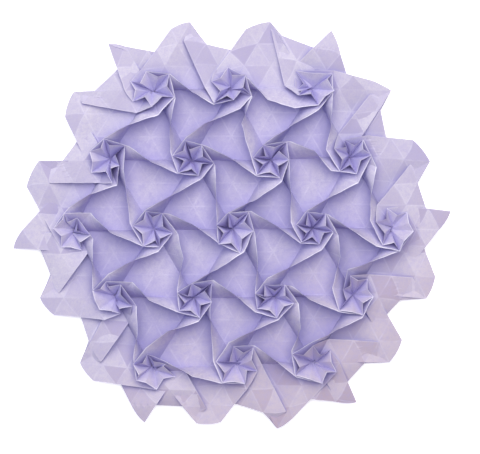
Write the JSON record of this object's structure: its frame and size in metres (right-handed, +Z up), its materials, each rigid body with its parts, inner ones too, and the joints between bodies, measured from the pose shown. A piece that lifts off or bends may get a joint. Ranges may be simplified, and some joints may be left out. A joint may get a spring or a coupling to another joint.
{
  "type": "origami tessellation",
  "caption": "Flat paper relief folded from one hexagonal sheet: a lattice of sunk twisted stars joined by standing pleats, with an open border of overlapping points",
  "frame": {"origin": "bottom of the sheet, under its middle star", "axes": "+Z up out of the face of the sheet, +X along a row of stars"},
  "size_m": [0.1284, 0.1186, 0.0065],
  "materials": {
    "lavender_paper": "matte lavender paper, slightly paler along worn creases"
  },
  "bodies": {
    "root": {"folded_sheet": "lavender_paper"}
  },
  "joints": []
}
